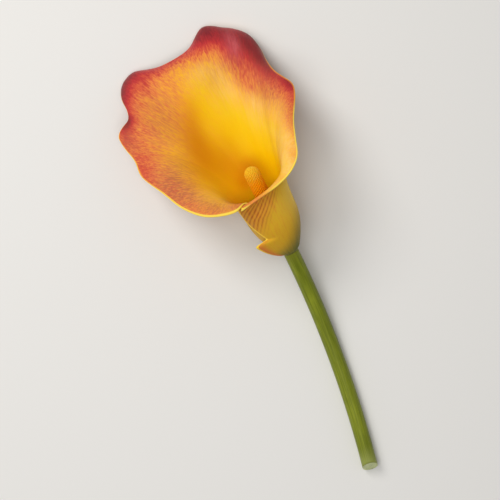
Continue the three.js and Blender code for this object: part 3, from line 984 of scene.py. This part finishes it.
def makeStem(materials):
    s = stem
    length = s["arc"] + s["flat"]
    mapWidth, mapLength = s["mapSize"]
    bm = bmesh.new()
    bmesh.ops.create_grid(bm, x_segments=s["columns"], y_segments=s["rows"], size=1)
    uv = bm.loops.layers.uv.new("ribMap")
    for face in bm.faces:
        for loop in face.loops:
            loop[uv].uv = (loop.vert.co.x * mapWidth, loop.vert.co.y * mapLength)
    reach = bm.verts.layers.float.new("reach")
    for vert in bm.verts:
        share = (vert.co.y + 1) / 2
        vert[reach] = share
        turn = math.pi * vert.co.x
        vert.co = stemPoint(blend(length, -s["pegHeight"], share), turn) * mm
        vert.co.z = max(vert.co.z, 0)
    bmesh.ops.remove_doubles(bm, verts=bm.verts[:], dist=0.00001)
    openEdges = [edge for edge in bm.edges if edge.is_boundary]
    ends = bmesh.ops.holes_fill(bm, edges=openEdges, sides=0)["faces"]
    cut = min(ends, key=lambda face: face.calc_center_median().y)
    cut.material_index = 1
    bmesh.ops.recalc_face_normals(bm, faces=bm.faces[:])
    for width, depth in s["cutSteps"]:
        bmesh.ops.inset_region(bm, faces=[cut], thickness=width * mm, depth=-depth * mm)
    finishPiece(bm, "stemStalk", "stem", materials)


def stalkMaterial():
    material, tree, shader = newMaterial("stalk skin", {
        "Roughness": 0.42, "Specular IOR Level": 0.35, "Specular Tint": (1.0, 0.9, 0.5, 1.0),
        "Subsurface Weight": 0.15, "Subsurface Radius": (0.6, 0.8, 0.2),
        "Subsurface Scale": 0.0015, "Coat Weight": 0.04, "Coat Roughness": 0.25})
    grain = placeStreaks(tree, 1.3, 0.5, 5.0)
    fine = placeStreaks(tree, 4.5, 1.0, 3.0)
    cells = placeGroup(tree, skin, {"Blotches": 60.0})
    reach = readAttribute(tree, "reach")
    nearFlower = fromRange(tree, reach, 0.9, 0.99)
    nearCut = fromRange(tree, reach, 0.1, 0.0)
    base = mixColour(tree, grain["Streak"], colour(106, 118, 18), colour(146, 156, 38))
    base = paintOver(tree, base,
                     (times(tree, cells["Blotch"], 0.35), colour(88, 100, 18)),
                     (times(tree, nearFlower, 0.6), colour(140, 144, 40)),
                     (times(tree, nearCut, 0.5), colour(168, 176, 104)))
    tree.links.new(base, shader.inputs["Base Color"])
    height = plus(tree, fine["Vein"], times(tree, cells["Cell Height"], 0.4))
    addBump(tree, shader, height, 0.25)
    return material


def cutMaterial():
    material, tree, shader = newMaterial("stalk cut face", {
        "Roughness": 0.35, "Specular IOR Level": 0.5, "Subsurface Weight": 0.3,
        "Subsurface Radius": (0.8, 0.9, 0.4), "Subsurface Scale": 0.0015})
    place = addNode(tree, "ShaderNodeTexCoord").outputs["Object"]
    pores = addNode(tree, "ShaderNodeTexVoronoi",
                    {"Vector": place, "Scale": 1500.0}).outputs["Distance"]
    hole = fromRange(tree, pores, 0.42, 0.2)
    base = mixColour(tree, hole, colour(212, 220, 158), colour(122, 140, 70))
    tree.links.new(base, shader.inputs["Base Color"])
    addBump(tree, shader, pores, 0.5)
    return material


makeStem([stalkMaterial(), cutMaterial()])
print("stem made")


studio = {
    # in metres, but the lens and its sensor in mm
    "floorColour": (238, 237, 235),
    "floorSize": 12.0,
    "lens": 150,
    "sensor": 36,
    "lean": 27,  # degrees that the flower leans to the left in the picture
    "across": 0.262,  # width of the picture at the flower's height
    "flowerHeight": 0.02,
    "centre": (-0.0143, 0.0018),  # middle of the picture, along its own right and up
    "lightAim": (0, 0.03, 0.02),
    "softboxes": {  # place to the right, up and above, size, power and tint
        "key softbox": ((-0.55, 0.5, 0.75), 0.5, 4.6, (1.0, 0.98, 0.95)),
        "front softbox": ((-0.15, -0.15, 1.0), 0.7, 4.2, (1.0, 0.99, 0.97)),
    },
    "worldColour": (1.0, 0.985, 0.96, 1.0),
    "worldLight": 0.26,
}


def pictureToPlan(right, up, height):
    lean = math.radians(studio["lean"])
    return Vector((right * math.cos(lean) + up * math.sin(lean),
                   -right * math.sin(lean) + up * math.cos(lean), height))


def makeTabletop():
    s = studio
    bm = bmesh.new()
    bmesh.ops.create_grid(bm, x_segments=1, y_segments=1, size=s["floorSize"] / 2)
    mesh = meshFrom(bm, "tabletop")
    matte = newMaterial("matte tabletop", {
        "Base Color": colour(*s["floorColour"]), "Roughness": 0.85, "Specular IOR Level": 0.2})[0]
    mesh.materials.append(matte)
    floor = addObject("tabletop", mesh)


def makeSoftbox(name, place, size, power, tint):
    lamp = bpy.data.lights.new(name, "AREA")
    lamp.shape = "DISK"
    lamp.size = size
    lamp.energy = power
    lamp.color = tint
    light = addObject(name, lamp)
    light.location = pictureToPlan(*place)
    aim = Vector(studio["lightAim"]) - light.location
    light.rotation_euler = aim.to_track_quat("-Z", "Y").to_euler()


def makeWorld():
    world = bpy.data.worlds.new("pale room")
    bpy.context.scene.world = world
    world.use_nodes = True
    background = world.node_tree.nodes["Background"]
    background.inputs["Color"].default_value = studio["worldColour"]
    background.inputs["Strength"].default_value = studio["worldLight"]


def makeCamera():
    s = studio
    cameraData = bpy.data.cameras.new("overhead camera")
    cameraData.lens = s["lens"]
    cameraData.sensor_width = s["sensor"]
    camera = addObject("overhead camera", cameraData)
    distance = s["across"] * s["lens"] / s["sensor"]
    camera.location = pictureToPlan(*s["centre"], distance + s["flowerHeight"])
    camera.rotation_euler = (0, 0, math.radians(-s["lean"]))
    bpy.context.scene.camera = camera


makeTabletop()
for name, settings in studio["softboxes"].items():
    makeSoftbox(name, *settings)
makeWorld()
makeCamera()
bpy.context.scene.view_settings.view_transform = "Standard"
print("studio made")
